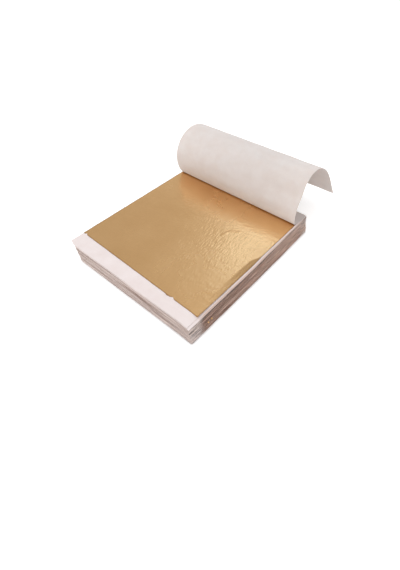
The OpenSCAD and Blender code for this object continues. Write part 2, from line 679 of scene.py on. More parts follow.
@dataclass(frozen=True)
class PaddingGlue(Finish):
    """White padding glue, a vinyl dispersion brushed over the edges, dried clear and a little yellow.

    It is a satin film, with brush marks along the spine and the page edges showing as fine lines.
    """

    body: str = "e6dfd0"
    thin: str = "d8cfc0"
    brush_high_mm: float = 0.55
    brush_long_mm: float = 18.0
    brush_deep_mm: float = 0.05
    roughness: float = 0.42

    def dress(self, tree: NodeTree, place: NodeSocket) -> Inputs:
        """Sets brush marks in colour and relief.

        Args:
            tree: the material's tree.
            place: Object coordinates.

        Returns:
            The inputs of the principled shader.
        """
        brush = streaked(tree, place, (self.brush_long_mm, 0.0, self.brush_high_mm), 4.0, 0.6)
        relief = add_node(
            tree, "ShaderNodeBump", {"Strength": 1.0, "Distance": self.brush_deep_mm * MM, "Height": brush}
        )
        return {
            "Base Color": painted(tree, self.thin, (self.body, brush)), "Normal": relief.outputs[0],
            "Roughness": self.roughness,
        }


# The pack of pages


@dataclass
class Opening:
    """A gap that opens between two pages at the sides of the pack."""

    height: float
    wide: float
    wave: Wave
    corner_share: float = 0.0


@dataclass
class PackShape:
    """How the pages of a used pack lie. All lengths are in millimetres.

    The uppermost pages have slid to the left over the others, the rest lie in bundles that stand out
    by a few tenths, and the pages part a little at the sides and droop along the right edge.
    """

    # How the pages lie askew, and how far the uppermost have slid.
    seed: int = 11
    skew: float = 2.4
    skew_below: float = 0.3
    worn_corner: float = 1.2
    worn_reach: float = 3.5
    left_inset: float = 1.3
    left_inset_below: float = 0.9
    slid_from: float = 0.25
    slid_depth: float = 1.45
    slid_width: float = 1.35
    slid_front: float = 0.25
    undercut: float = 0.45
    base_share: float = 0.5
    spine_share: float = 0.45
    spread_by: float = 2.2
    # The bundles below them, and the single pages that stand out.
    bundle_thin: float = 1.1
    bundle_thick: float = 2.3
    bundle_side: float = 0.2
    bundle_front: float = 0.35
    stray: float = 0.015
    topmost: float = 0.05
    standing: float = 0.26
    standing_every: int = 4
    standing_kinds: int = 5
    standing_length: float = 26.0
    standing_longer: float = 9.0
    standing_from: float = 0.2
    standing_depth: float = 0.06
    # The gaps between pages, which close towards the middle and the glue.
    half_pair: float = 0.06
    slid_gap: float = 0.5
    gap_wide: tuple[float, float] = (0.3, 0.55)
    gap_wander: float = 0.4
    open_above: float = 1.5
    parted_reach: float = 13.0
    beyond_leaf: float = 1.0
    free_before: float = 25.0
    bound_within: float = 6.0
    corner_reach: float = 40.0
    corner_rest: float = 0.35
    # The right edge, which hangs down, and the curl of all edges.
    droop: float = 0.65
    droop_width: float = 2.8
    droop_back: float = 6.5
    droop_lead: float = 2.5
    droop_fade: float = 2.0
    settled: float = 0.07
    curl: float = 0.4
    curl_reach: float = 4.5
    curl_lead: float = 1.5
    curl_wander: float = 0.25
    # What the frame gives.
    low: np.ndarray = field(init=False)
    high: np.ndarray = field(init=False)
    top: float = field(init=False)
    spine: float = field(init=False)
    front: float = field(init=False)
    curl_wave: Wave = field(init=False)
    bundles: list[tuple[float, float, float]] = field(init=False)
    openings: list[Opening] = field(init=False)

    def __post_init__(self) -> None:
        """Reads the pack's box from the frame and deals the pages into bundles."""
        top_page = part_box("tissues_10")
        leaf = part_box("top_leaf")
        self.low = np.array(leaf[0]) / MM
        self.high = np.array(leaf[1]) / MM
        self.top = top_page[1].z / MM
        self.spine = top_page[1].y / MM
        self.front = top_page[0].y / MM
        rng = np.random.default_rng(self.seed)
        self.bundles = []
        height = self.top - self.slid_depth
        while height > 0:
            side = rng.uniform(-self.bundle_side, self.bundle_side)
            self.bundles.append((height, side, rng.uniform(0, self.bundle_front)))
            height -= rng.uniform(self.bundle_thin, self.bundle_thick)
        self.curl_wave = waves(self.seed + 40, 50)
        self.openings = [
            Opening(self.top - depth - self.half_pair, self.slid_gap, waves(self.seed + i, length), share)
            for i, depth, length, share in ((1, self.slid_from, 90, 0.5), (2, self.slid_depth, 120, 0.7))
        ]
        self.openings += [
            Opening(height, rng.uniform(*self.gap_wide), waves(self.seed + 3 + i, 110))
            for i, (height, _, _) in enumerate(self.bundles[1:])
            if height > self.open_above
        ]

    def slide(self, height: float, index: int) -> tuple[float, float]:
        """Tells how far a page lies out of the square pack.

        Args:
            height: the page's height over the table.
            index: its number, which gives it a small stray of its own.

        Returns:
            How far it lies to the right, and how far its front edge stands out.
        """
        depth = self.top - height
        slid = float(depth > self.slid_from)
        side, front = self.slid_width * slid, self.slid_front * slid
        below = [b for b in self.bundles if height <= b[0]]
        if below:
            share = (depth - self.slid_depth) / (self.top - self.slid_depth)
            side = (side - self.undercut) * (1 - share) + self.base_share * share + below[-1][1]
            front += below[-1][2]
        stray = self.stray * math.sin(GOLDEN_ANGLE * index) if depth > self.topmost else 0.0
        return side + stray, front

    def standing_out(self, index: int, y: np.ndarray) -> np.ndarray:
        """Tells how far every fourth page stands out over the others, here and there along its sides.

        Args:
            index: the page's number.
            y: places along the page.

        Returns:
            How far its sides stand out there.
        """
        if index % self.standing_every != self.standing_every // 2:
            return np.zeros_like(y)
        length = self.standing_length + self.standing_longer * (index % self.standing_kinds)
        wave = np.sin(2 * math.pi * y / length + GOLDEN_ANGLE * index)
        return self.standing * np.clip(wave - self.standing_from, 0, 1)

    def drooping(self, x: np.ndarray, y: np.ndarray) -> np.ndarray:
        """Tells how far the pages hang down along the right edge, in front of the small fold there.

        Args:
            x: places across the page.
            y: places along the page.

        Returns:
            How far the topmost page hangs down there.
        """
        right = self.high[0]
        narrower = smooth((y + self.droop_lead) / (self.droop_back + self.droop_lead))
        start = right - self.droop_width * (1 - narrower)
        ramp = np.clip((x - start) / self.droop_width, 0, 1)
        behind = (y - self.droop_back + self.droop_fade / 2) / self.droop_fade
        return self.droop * ramp * (1 - smooth(behind))

    def pressed(self, x: np.ndarray, y: np.ndarray, z: np.ndarray) -> np.ndarray:
        """Tells where points of the pages lie once the pack has settled.

        Args:
            x: places across the page.
            y: places along the page.
            z: heights in the square pack.

        Returns:
            The heights in the real pack, never more than in the square one.
        """
        right, left = self.high[0] + self.beyond_leaf, self.low[0] + self.beyond_leaf
        sides = np.minimum(np.minimum(right - x, x - left), y - self.front)
        edge = 1 - smooth(sides / self.parted_reach)
        around = x - y
        wander = 1 - self.curl_wander + self.curl_wander * self.curl_wave(around)
        curl = self.curl * (1 - smooth((sides + self.curl_lead) / self.curl_reach)) * wander
        free = 1 - smooth((y - self.free_before) / (self.spine - self.bound_within - self.free_before))
        corner = smooth(1 - np.hypot(right - x, y - self.front) / self.corner_reach)
        keep = np.ones_like(z)
        for gap in self.openings:
            wide = gap.wide * (1 - self.gap_wander + self.gap_wander * gap.wave(around))
            wide = wide * (1 - gap.corner_share + gap.corner_share * corner)
            wide = wide + gap.wide * gap.corner_share * self.corner_rest
            lowered = 1 - np.clip(wide, 0, None) * edge * free / gap.height
            keep = np.where(z < gap.height, keep * lowered, keep)
        low = z * keep * (1 - (self.drooping(x, y) + self.settled) * free / self.top)
        return low + np.clip(curl, 0, None) * (1 - low / self.top)

    def right_edge(self, height: float) -> float:
        """Tells where the pages' right edge lies near the front, before the pack settles.

        Args:
            height: a height over the table.

        Returns:
            Where the right edge lies there.
        """
        low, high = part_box("bound_strip")
        half = (high.x - low.x) / MM / 2
        return half + (self.low[0] + self.high[0]) / 2 * height / self.top + self.slide(height, 0)[0]

    def lay(self, sheets: np.ndarray, first: int, trim: float = 0.0) -> np.ndarray:
        """Moves the points of a gathering's sheets from the square pack to the real one.

        Args:
            sheets: sheets by points by three.
            first: the number of the lowest sheet.
            trim: how far the sheets' side edges are rolled in.

        Returns:
            The moved points, in the same shape.
        """
        laid = sheets.copy()
        middles = (laid[..., 0].min(1) + laid[..., 0].max(1)) / 2
        fronts = laid[..., 1].min(1)
        lean = (self.low[0] + self.high[0]) / 2 / self.top
        for n, sheet in enumerate(laid):
            outward = np.clip(2 * (sheet[:, 0] - middles[n]) / np.ptp(sheet[:, 0]), -1, 1)
            sheet[:, 0] -= trim * outward
            side, front = self.slide(float(sheet[:, 2].mean()), first + n)
            toward_front = (self.spine - sheet[:, 1]) / (self.spine - self.front)
            spread = self.spine_share + (1 - self.spine_share) * smooth(toward_front * self.spread_by)
            depth = (self.top - float(sheet[:, 2].mean())) / self.top
            skew = self.skew + self.skew_below * depth
            skewed = skew * (self.high[0] - sheet[:, 0]) / (self.high[0] - self.low[0])
            skewed -= self.worn_corner * (1 - smooth((sheet[:, 0] - self.low[0]) / self.worn_reach))
            inset = (self.left_inset + self.left_inset_below * depth) * (depth * self.top > self.slid_from)
            sheet[:, 0] += inset * np.clip(-outward, 0, 1)
            apart = depth > self.standing_depth and not trim
            stands = self.standing_out(first + n, sheet[:, 1]) if apart else 0.0
            sheet[:, 0] += side * spread + stands * outward + lean * float(sheet[:, 2].mean()) - middles[n]
            pulled = fronts[n] - fronts.mean()
            sheet[:, 1] -= (front + skewed + pulled) * np.clip(toward_front, 0, 1)
            sheet[:, 2] = self.pressed(sheet[:, 0], sheet[:, 1], sheet[:, 2])
        return laid


@dataclass
class Gatherings:
    """The tissues and leaves of the pack, laid sheet by sheet by one geometry tree."""

    shape: PackShape
    columns: int = 30
    rows: int = 32
    toward_edges: float = 0.5
    steep: float = 0.7
    leaf_trim: float = 0.9
    bared_lift: float = 0.08

    def tree(self) -> NodeTree:
        """Builds the tree that puts a fine-meshed sheet on each point.

        Returns:
            A tree with inputs for the sheets' grid and materials. Each point has its sheet's size in
            the attribute sheet_size.
        """
        tree = bpy.data.node_groups.new("interleaved_sheets", "GeometryNodeTree")
        sockets = {
            "Sheets": "NodeSocketGeometry", "Columns": "NodeSocketInt", "Rows": "NodeSocketInt",
            "Toward Edges": "NodeSocketFloat", "Face": "NodeSocketMaterial",
            "Side Edges": "NodeSocketMaterial", "Front Edges": "NodeSocketMaterial",
        }
        for name, kind in sockets.items():
            tree.interface.new_socket(name=name, in_out="INPUT", socket_type=kind)
        tree.interface.new_socket(name="Sheets", in_out="OUTPUT", socket_type="NodeSocketGeometry")
        given = add_node(tree, "NodeGroupInput").outputs
        sheet = add_node(
            tree, "GeometryNodeMeshCube",
            {"Vertices X": given["Columns"], "Vertices Y": given["Rows"], "Vertices Z": 2},
        )
        place = add_node(tree, "GeometryNodeInputPosition").outputs[0]
        turned = add_node(tree, "ShaderNodeVectorMath", {0: place, "Scale": math.pi}, operation="SCALE")
        sine = add_node(tree, "ShaderNodeVectorMath", {0: turned.outputs[0]}, operation="SINE")
        half = add_node(tree, "ShaderNodeVectorMath", {0: sine.outputs[0], "Scale": 0.5}, operation="SCALE")
        closer = add_node(
            tree, "ShaderNodeMix",
            {0: given["Toward Edges"], 4: place, 5: half.outputs[0]}, data_type="VECTOR",
        )
        moved = {"Geometry": sheet.outputs["Mesh"], "Position": closer.outputs[1]}
        meshed = add_node(tree, "GeometryNodeSetPosition", moved)
        size = add_node(
            tree, "GeometryNodeInputNamedAttribute", {"Name": "sheet_size"}, data_type="FLOAT_VECTOR"
        )
        laid = add_node(
            tree, "GeometryNodeInstanceOnPoints",
            {"Points": given["Sheets"], "Instance": meshed.outputs[0], "Scale": size.outputs[0]},
        )
        real = add_node(tree, "GeometryNodeRealizeInstances", {"Geometry": laid.outputs[0]})
        normal = add_node(tree, "GeometryNodeInputNormal").outputs[0]
        facing = add_node(tree, "ShaderNodeSeparateXYZ", {"Vector": normal})
        dressed = add_node(
            tree, "GeometryNodeSetMaterial", {"Geometry": real.outputs[0], "Material": given["Face"]}
        )
        for axis, name in (("X", "Side Edges"), ("Y", "Front Edges")):
            steep = add_node(tree, "ShaderNodeMath", {0: facing.outputs[axis]}, operation="ABSOLUTE")
            compared = {"A": steep.outputs[0], "B": self.steep}
            chosen = add_node(tree, "FunctionNodeCompare", compared, operation="GREATER_THAN")
            dressed = add_node(
                tree, "GeometryNodeSetMaterial",
                {"Geometry": dressed.outputs[0], "Selection": chosen.outputs[0], "Material": given[name]},
            )
        add_node(tree, "NodeGroupOutput", {"Sheets": dressed.outputs[0]})
        return tree

    def sheets_of(self, node: str) -> tuple[np.ndarray, np.ndarray]:
        """Reads the sheets of a CAD node.

        Args:
            node: a node of flat sheets that lie over one another.

        Returns:
            The centres and the sizes of its sheets from the lowest up, in millimetres.
        """
        points = points_of(frame["nodes"][node].data)
        heights = np.unique(points[:, 2].round(4))
        centres, sizes = [], []
        for under, over in zip(heights[0::2], heights[1::2]):
            own = points[(points[:, 2] > under - TOLERANCE_MM) & (points[:, 2] < over + TOLERANCE_MM)]
            centres.append((own.min(0) + own.max(0)) / 2)
            sizes.append(own.max(0) - own.min(0))
        return np.array(centres), np.array(sizes)

    def gathering(
        self, node: str, tree: NodeTree, materials: dict[str, Material], first: int, bared: bool
    ) -> tuple[Mesh, int]:
        """Lays the sheets of one node.

        Args:
            node: the CAD node that they stand for.
            tree: the tree that makes them.
            materials: the tree's materials by input name.
            first: the number of the lowest sheet.
            bared: whether its uppermost leaf is bared when a sheaf turns, and so lies clear of its tissue.

        Returns:
            The mesh of the laid sheets, and how many there are.
        """
        centres, sizes = self.sheets_of(node)
        seeds = bpy.data.meshes.new(node + "_places")
        seeds.from_pydata((centres * MM).tolist(), [], [])
        held = seeds.attributes.new("sheet_size", "FLOAT_VECTOR", "POINT")
        held.data.foreach_set("vector", (sizes * MM).ravel())
        maker = add_object(node + "_maker", seeds)
        modifier = maker.modifiers.new("sheets", "NODES")
        modifier.node_group = tree
        values = {
            "Columns": self.columns, "Rows": self.rows, "Toward Edges": self.toward_edges, **materials
        }
        for item in tree.interface.items_tree:
            if item.in_out == "INPUT" and item.name in values:
                modifier[item.identifier] = values[item.name]
        evaluated = maker.evaluated_get(bpy.context.evaluated_depsgraph_get())
        mesh = bpy.data.meshes.new_from_object(evaluated)
        mesh.materials.pop(index=0)
        mesh.attributes.remove(mesh.attributes["sheet_size"])
        mesh.name = node.replace("_", "_pages_" if node.startswith("tissues") else "_stack_")
        bpy.data.objects.remove(maker)
        sheets = points_of(mesh).reshape(len(centres), -1, 3)
        leaf = node.startswith("leaves")
        laid = self.shape.lay(sheets, first, self.leaf_trim if leaf else 0.0)
        if leaf and bared:
            laid[-1, :, 2] += self.bared_lift
        laid *= MM
        mesh.vertices.foreach_set("co", laid.astype(np.float32).ravel())
        mesh.update()
        mesh.shade_smooth()
        mesh.set_sharp_from_angle(angle=SHARP_ANGLE)
        return mesh, len(centres)

    def build(self, paper: Material, smeared: Material,
              cut: Material, metal: Material) -> None:
        """Makes every gathering's tissues and leaves.

        Args:
            paper: finish of the tissues' faces.
            smeared: finish of their side edges.
            cut: finish of their front and back edges.
            metal: finish of the leaves.
        """
        tree = self.tree()
        tissue = {"Face": paper, "Side Edges": smeared, "Front Edges": cut}
        leaf = {"Face": metal, "Side Edges": metal, "Front Edges": metal}
        for kind, slot, materials in (("tissues", Slot.TISSUE, tissue), ("leaves", Slot.LEAF, leaf)):
            nodes = [n for n in frame["nodes"] if n.startswith(kind)]
            nodes.sort(key=lambda name: int(name.split("_")[1]))
            bodies = [frame["nodes"][node]["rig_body"] for node in nodes]
            first = 0
            for node, body, above in zip(nodes, bodies, bodies[1:] + bodies[-1:]):
                mesh, count = self.gathering(node, tree, materials, first, body != above)
                first += count
                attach(add_piece(mesh, slot, [], node), body)


# The open leaf


@dataclass
class OpenLeaf:
    """The first leaf, loose on the top page: a little ragged at its edges and finely wrinkled."""

    shape: PackShape
    spacing: float = 0.385
    ragged: float = 0.035
    ragged_long: float = 9.0
    ragged_short: float = 2.6
    ragged_fine: float = 0.6
    ragged_seeds: tuple[int, int, int, int] = (31, 33, 35, 37)
    rim: float = 3.0
    rim_shade_width: float = 0.5
    sprung: float = 0.88
    sprung_from: float = 8.0
    sprung_reach: float = 34.0
    swell: float = 0.03
    wrinkle: float = 0.024
    wrinkle_across: tuple[float, float] = (1.6, 3.6)
    wrinkle_turn: float = 14.0
    wrinkle_spread: float = 40.0
    wrinkle_seed: int = 71
    wrinkle_count: int = 60
    wrinkle_round: float = 0.05
    bend: tuple[tuple[float, float], ...] = ((16.4, 4.6), (17.2, 8.2), (18.6, 10.6), (21.8, 12.3))
    bend_width: float = 0.55
    bend_high: float = 0.11
    smooth_border: float = 4.0
    swell_change: float = 0.4
    settled_share: float = 0.3
    nicks: tuple[tuple[float, float, float], ...] = (
        (25.8, 1.5, 0.75), (22.6, 1.8, -0.3), (-41.2, 1.4, 0.7),
    )

    def rag(self, seed: int, along: np.ndarray) -> np.ndarray:
        """Returns how far an edge wanders from its straight line."""
        fine = self.ragged_fine * waves(seed + 1, self.ragged_short)(along)
        return self.ragged * (waves(seed, self.ragged_long)(along) + fine)

    def wrinkles(self, x: np.ndarray, y: np.ndarray) -> np.ndarray:
        """Draws the fine leathery wrinkles, which lie mostly along the leaf.

        Args:
            x: places across the leaf.
            y: places along the leaf.

        Returns:
            The height of the wrinkles there.
        """
        rng = np.random.default_rng(self.wrinkle_seed)
        shortest, longest = self.wrinkle_across
        waved = np.zeros_like(x)
        for _ in range(self.wrinkle_count):
            length = shortest * (longest / shortest) ** rng.random()
            turn = math.radians(self.wrinkle_turn + self.wrinkle_spread * rng.uniform(-1, 1))
            phase = rng.uniform(0, 2 * math.pi)
            along = x * math.cos(turn) + y * math.sin(turn)
            waved += length * np.sin(2 * math.pi * along / length + phase)
        waved /= math.sqrt(self.wrinkle_count / 2) * (shortest + longest) / 2
        return self.wrinkle * np.sqrt(waved ** 2 + self.wrinkle_round)

    def crease(self, x: np.ndarray, y: np.ndarray) -> np.ndarray:
        """Draws the short bent crease right of the middle.

        Args:
            x: places across the leaf.
            y: places along the leaf.

        Returns:
            The height of the crease there.
        """
        bend = np.array(self.bend)
        height = np.zeros_like(x)
        for a, b in zip(bend[:-1], bend[1:]):
            along = b - a
            share = np.clip(((x - a[0]) * along[0] + (y - a[1]) * along[1]) / (along @ along), 0, 1)
            off = np.hypot(x - a[0] - share * along[0], y - a[1] - share * along[1])
            height = np.maximum(height, np.exp(-((off / self.bend_width) ** 2)))
        return self.bend_high * height

    def build(self, metal: Material) -> None:
        """Makes the leaf in place of its plain sheet.

        Args:
            metal: the finish of the leaf.
        """
        low, high = self.shape.low, self.shape.high
        across = np.linspace(low[0], high[0], int((high[0] - low[0]) / self.spacing))
        along = np.linspace(low[1], high[1], int((high[1] - low[1]) / self.spacing))
        x, y = np.meshgrid(across, along, indexing="ij")
        inward = (x - low[0], high[0] - x, y - low[1], high[1] - y)
        left, right, front, back = (np.clip(1 - off / self.rim, 0, 1) for off in inward)
        nick = sum(d * np.exp(-(((x - at) / (w / 2)) ** 2)) for at, w, d in self.nicks)
        rags = [self.rag(seed, at) for seed, at in zip(self.ragged_seeds, (y, y, x, x))]
        ragged_x = x + rags[0] * left - np.abs(rags[1]) * right
        ragged_y = y + (rags[2] + nick) * front - rags[3] * back
        seat = self.shape.pressed(ragged_x, ragged_y, np.full_like(x, self.shape.top))
        broad = waves(41, 17)(x + 0.4 * y) + waves(42, 23)(y - 0.3 * x)
        inside = smooth(inward[0] / self.smooth_border) * smooth(inward[1] / self.smooth_border)
        swell = self.swell * (1 + self.swell_change * broad) * inside
        behind = (y - self.shape.front - self.sprung_from) / self.sprung_reach
        sprung = self.sprung * np.clip(1 - behind, 0, 1)
        lift = swell + self.wrinkles(x, y) + self.crease(x, y) + self.shape.settled * self.settled_share
        lift += sprung * self.shape.drooping(ragged_x, ragged_y)
        under = seat + (low[2] - self.shape.top) + lift
        thick = high[2] - low[2]
        lower = np.stack([ragged_x, ragged_y, under], -1)
        upper = lower + np.array([0, 0, thick])
        mesh = closed_sheet("open_leaf", upper, lower)
        points = points_of(mesh)
        # The rim attribute says where the metal finish paints shade along the leaf's edge.
        nearest = np.minimum(points[:, :2] - low[:2], high[:2] - points[:, :2]).min(1)
        rim = np.clip(1 - nearest / self.rim_shade_width, 0, 1)
        mesh.attributes.new(RIM, "FLOAT", "POINT").data.foreach_set("value", rim)
        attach(add_piece(mesh, Slot.OPEN_LEAF, [metal], "top_leaf"), "top_leaf")


@dataclass
class LeafCrumb:
    """A crumb of torn leaf that clings to the right side of the pack."""

    name: str
    y: float
    z: float
    wide: float = 0.9
    high: float = 0.7
    thick: float = 0.03
    off: float = 0.25
    narrows: float = 0.5
    cells: int = 8

    def build(self, shape: PackShape, metal: Material) -> None:
        """Makes the crumb, crumpled and standing a little off the pages.

        Args:
            shape: the pack that it clings to.
            metal: the finish of the leaf.
        """
        steps = np.linspace(-0.5, 0.5, self.cells + 1)
        across, up = np.meshgrid(steps, steps, indexing="ij")
        narrowed = 1 - self.narrows * np.abs(up + 0.2 * across)
        crumpled = 0.1 * np.sin(7 * across + 3 * up + self.y) + 0.08 * np.cos(8 * up - 2 * across)
        out = shape.right_edge(self.z) + self.off + crumpled - self.off * up
        face = np.stack(
            [out, self.y + self.wide * across * narrowed, self.z + self.high * up * (1 - 0.3 * across)], -1
        )
        behind = face - np.array([self.thick, 0, 0])
        piece = add_piece(closed_sheet(self.name, face, behind), Slot.LEAF, [metal])
        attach(piece, "lower_sheaf")


# The turned tissue


@dataclass
class RollProfile:
    """Line of the turned tissue seen from its side: from the glue to the fold and round the roll."""

    held: float = 1.5
    fold_round: float = 0.5
    step: float = 0.1
    hinges: np.ndarray = field(init=False)
    line: np.ndarray = field(init=False)
    fold_at: float = field(init=False)
    strip: float = field(init=False)
    thickness: float = field(init=False)

    def __post_init__(self) -> None:
        """Draws a smooth line through the hinges of the strips."""
        named = [j for j in frame["joints"] if j["name"].startswith("page_")]
        self.hinges = np.array([j["pos_m"][1:] for j in named]) / MM
        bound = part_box("bound_strip")
        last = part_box(named[-1]["child"])
        pages = points_of(frame["nodes"]["tissues_1"].data)[:, 2]
        self.thickness = float(np.diff(np.unique(pages.round(4)))[0])
        glued = np.array([bound[1].y / MM, bound[0].z / MM + self.thickness / 2])
        end = np.array([last[1].y, last[0].z]) / MM + self.thickness / 4 * np.array([-1, 1])
        roll = self.spline(np.vstack([self.hinges, end]))
        start = np.vstack([glued, glued - [self.held, 0], self.hinges[:1]])
        path = self.even(np.vstack([start[:-1], roll]))
        self.line = self.even(self.rounded(path))
        lengths = self.lengths(self.line)
        nearest = np.hypot(*(self.line - self.hinges[0]).T).argmin()
        self.fold_at = float(lengths[nearest])
        self.strip = (lengths[-1] - self.fold_at) / len(self.hinges)

    @staticmethod
    def lengths(line: np.ndarray) -> np.ndarray:
        """Returns the distance along a line at each of its points."""
        return np.concatenate([[0], np.cumsum(np.hypot(*np.diff(line, axis=0).T))])

    @staticmethod
    def spline(knots: np.ndarray) -> np.ndarray:
        """Draws a natural cubic spline.

        Args:
            knots: the points that it passes through.

        Returns:
            Close points along it.
        """
        count = len(knots)
        system = np.eye(count)
        right = np.zeros_like(knots)
        for i in range(1, count - 1):
            system[i, i - 1:i + 2] = (1, 4, 1)
            right[i] = 6 * (knots[i - 1] - 2 * knots[i] + knots[i + 1])
        bend = np.linalg.solve(system, right)
        drawn = [knots[:1]]
        for i in range(count - 1):
            t = np.linspace(0, 1, SPAN_POINTS + 1)[1:, None]
            a, b = 1 - t, t
            straight = a * knots[i] + b * knots[i + 1]
            drawn.append(straight + ((a ** 3 - a) * bend[i] + (b ** 3 - b) * bend[i + 1]) / 6)
        return np.vstack(drawn)

    def even(self, line: np.ndarray) -> np.ndarray:
        """Spaces the points of a line evenly.

        Args:
            line: points along a line.

        Returns:
            Points along it that lie one step apart.
        """
        lengths = self.lengths(line)
        at = np.linspace(0, lengths[-1], int(round(lengths[-1] / self.step)) + 1)
        return np.stack([np.interp(at, lengths, line[:, i]) for i in range(2)], 1)

    def rounded(self, line: np.ndarray) -> np.ndarray:
        """Eases the corners of a line over a length of about fold_round.

        Args:
            line: points one step apart.

        Returns:
            As many points, along the rounded line.
        """
        reach = int(4 * self.fold_round / self.step)
        weights = np.exp(-0.5 * (np.arange(-reach, reach + 1) * self.step / self.fold_round) ** 2)
        weights /= weights.sum()
        before = 2 * line[0] - line[reach:0:-1]
        beyond = 2 * line[-1] - line[-2:-reach - 2:-1]
        longer = np.vstack([before, line, beyond])
        return np.stack([np.convolve(longer[:, i], weights, "valid") for i in range(2)], 1)

    def at(self, length: np.ndarray) -> tuple[np.ndarray, np.ndarray]:
        """Gives places on the line.

        Args:
            length: distances from the glued end.

        Returns:
            The points (y, z) there, and the unit normals that point into the roll.
        """
        lengths = self.lengths(self.line)
        along = np.gradient(self.line, lengths, axis=0)
        point = np.stack([np.interp(length, lengths, self.line[:, i]) for i in range(2)], -1)
        way = np.stack([np.interp(length, lengths, along[:, i]) for i in range(2)], -1)
        way /= np.linalg.norm(way, axis=-1, keepdims=True)
        return point, np.stack([way[..., 1], -way[..., 0]], -1)


@dataclass
class TurnedTissue:
    """The top tissue, turned back over the bound edge in a loose roll.

    It curves through every hinge of the CAD chain; its skin is parted at the middle of each strip, so that
    each part spans the one hinge between its ends.
    """

    profile: RollProfile
    columns: int = 44
    rows: int = 12
    cockle: float = 0.34
    held_cockle: float = 0.15
    cockle_start: float = 4.0
    cockle_mean: float = 0.5
    cockle_change: float = 0.22
    coned: float = 5.0
    coned_at: float = 19.0
    coned_reach: float = 12.0
    cone_from: float = -20.0
    cone_rise: float = 6.0
    blend_inset: float = 0.08
    fold_reach: float = 1.3
    nudge: float = 0.05
    across: np.ndarray = field(init=False)
    waves: list[Wave] = field(init=False)

    def __post_init__(self) -> None:
        """Reads the width of the tissue from the frame."""
        low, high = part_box("turned_strip_1")
        self.across = np.linspace(low.x / MM, high.x / MM, self.columns + 1)
        self.waves = [waves(51, 19), waves(52, 31), waves(53, 11), waves(54, 40)]

    def inset(self, length: np.ndarray, x: np.ndarray) -> np.ndarray:
        """Tells how far the paper dents into the roll.

        Args:
            length: distances from the glued end.
            x: places across the tissue.

        Returns:
            The depth there, in millimetres.
        """
        whole = self.profile.lengths(self.profile.line)[-1]
        toward_edge = np.clip((length - self.profile.fold_at) / (whole - self.profile.fold_at), 0, 1)
        small, broad, ripple, along = self.waves
        dents = small(x + 0.25 * length) + broad(x - 0.5 * length) + 0.5 * ripple(x) * toward_edge
        dents = dents + along(length)
        share = self.held_cockle + (1 - self.held_cockle) * toward_edge
        dented = self.cockle * share * smooth(toward_edge * self.cockle_start)
        dented = dented * (self.cockle_mean + self.cockle_change * dents)
        rise = length - self.profile.fold_at
        right = smooth((x - self.cone_from) / (self.across[-1] - self.cone_from))
        cone = self.coned * right * smooth(rise / self.cone_rise)
        return dented + cone * np.exp(-(((rise - self.coned_at) / self.coned_reach) ** 2))

    def surface(self, length: np.ndarray, x: np.ndarray, side: float) -> np.ndarray:
        """Gives points of one face of the tissue.

        Args:
            length: distances from the glued end.
            x: places across the tissue.
            side: 1 for the face that looks into the roll, -1 for the other.

        Returns:
            Points in millimetres.
        """
        point, normal = self.profile.at(length)
        away = self.inset(length, x) + side * self.profile.thickness / 2
        return np.concatenate([x[..., None], point + normal * away[..., None]], -1)

    def normals(self, length: np.ndarray, x: np.ndarray, side: float) -> np.ndarray:
        """Gives the normals of one face, taken from the whole tissue and not from a part.

        Args:
            length: distances from the glued end.
            x: places across the tissue.
            side: 1 for the face that looks into the roll, -1 for the other.

        Returns:
            Unit vectors that point outwards.
        """
        nudge = self.nudge
        total = self.profile.lengths(self.profile.line)[-1]
        before, after = np.clip(length - nudge, 0, total), np.clip(length + nudge, 0, total)
        along = self.surface(after, x, side) - self.surface(before, x, side)
        across = self.surface(length, x + nudge, side) - self.surface(length, x - nudge, side)
        normal = np.cross(along, across) * side
        return normal / np.linalg.norm(normal, axis=-1, keepdims=True)

    def part(self, name: str, start: float, end: float, rows: int) -> Mesh:
        """Makes the stretch of the tissue between two places.

        Args:
            name: the mesh's name.
            start: distance of its first edge from the glued end.
            end: distance of its last edge.
            rows: how many rows of faces it has.

        Returns:
            A closed mesh whose shading carries on from one part to the next.
        """
        length, x = np.meshgrid(np.linspace(start, end, rows + 1), self.across, indexing="ij")
        mesh = closed_sheet(name, self.surface(length, x, 1), self.surface(length, x, -1))
        shading = np.concatenate([self.normals(length, x, s).reshape(-1, 3) for s in (1, -1)])
        faces = 2 * rows * self.columns
        corners = np.empty(len(mesh.loops), np.int32)
        mesh.loops.foreach_get("vertex_index", corners)
        own = shading[corners]
        own[faces * 4:] = 0
        mesh.normals_split_custom_set(own.tolist())
        return mesh

    def build(self, paper: Material, backed: Material) -> None:
        """Makes the parts, each spanning one hinge.

        Args:
            paper: the finish of the free sheet.
            backed: the finish of the bound strip, which lies on the pages and lets no light through.
        """
        profile = self.profile
        fold, strip = profile.fold_at, profile.strip
        count = len(profile.hinges)
        middles = [fold + (k + 0.5) * strip for k in range(count)]
        mesh = self.part("turned_tissue_root", 0.0, middles[0], 3 * self.rows)
        for face in mesh.polygons:
            face.material_index = int(face.center.y > profile.hinges[0][0] * MM)
        root = add_piece(mesh, Slot.TURNED_TISSUE, [paper, backed], "bound_strip")
        ends = [fold - self.fold_reach, fold + self.fold_reach]
        self.bend(root, "upper_sheaf", "turned_strip_1", *ends)
        for k in range(1, count):
            name = f"turned_tissue_part_{k}"
            mesh = self.part(name, middles[k - 1], middles[k], self.rows)
            piece = add_piece(mesh, Slot.TURNED_TISSUE, [paper], f"turned_strip_{k}")
            inset = self.blend_inset * strip
            ends = [middles[k - 1] + inset, middles[k] - inset]
            self.bend(piece, f"turned_strip_{k}", f"turned_strip_{k + 1}", *ends)
        total = profile.lengths(profile.line)[-1]
        free = self.part("turned_tissue_free_edge", middles[-1], total, self.rows // 2)
        last = f"turned_strip_{count}"
        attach(add_piece(free, Slot.TURNED_TISSUE, [paper], last), last)

